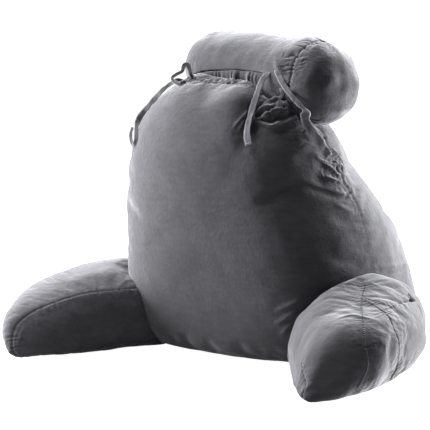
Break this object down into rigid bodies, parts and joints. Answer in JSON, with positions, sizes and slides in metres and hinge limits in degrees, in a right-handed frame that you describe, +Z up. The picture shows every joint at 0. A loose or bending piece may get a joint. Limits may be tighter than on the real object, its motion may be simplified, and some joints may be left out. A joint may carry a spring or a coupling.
{
  "type": "reading pillow with arms",
  "caption": "Plush reading pillow with a wedge back, two splayed arm cushions and a neck roll tied on top.",
  "frame": {"origin": "middle of the back cushion's flat underside", "axes": "+Z up, -Y the way the pillow faces, +X to the right seen from the front"},
  "size_m": [0.9023, 0.7327, 0.6864],
  "materials": {
    "plush": "charcoal grey short-pile velour",
    "tape": "tape sewn of the same velour"
  },
  "bodies": {
    "root": {"back_cushion": "plush", "arm_left": "plush", "arm_right": "plush", "neck_roll": "plush", "tie_right_inner": "tape", "tie_right_outer": "tape", "tie_right_loop": "tape", "tie_left_strap": "tape", "tie_left_loop": "tape"}
  },
  "joints": []
}
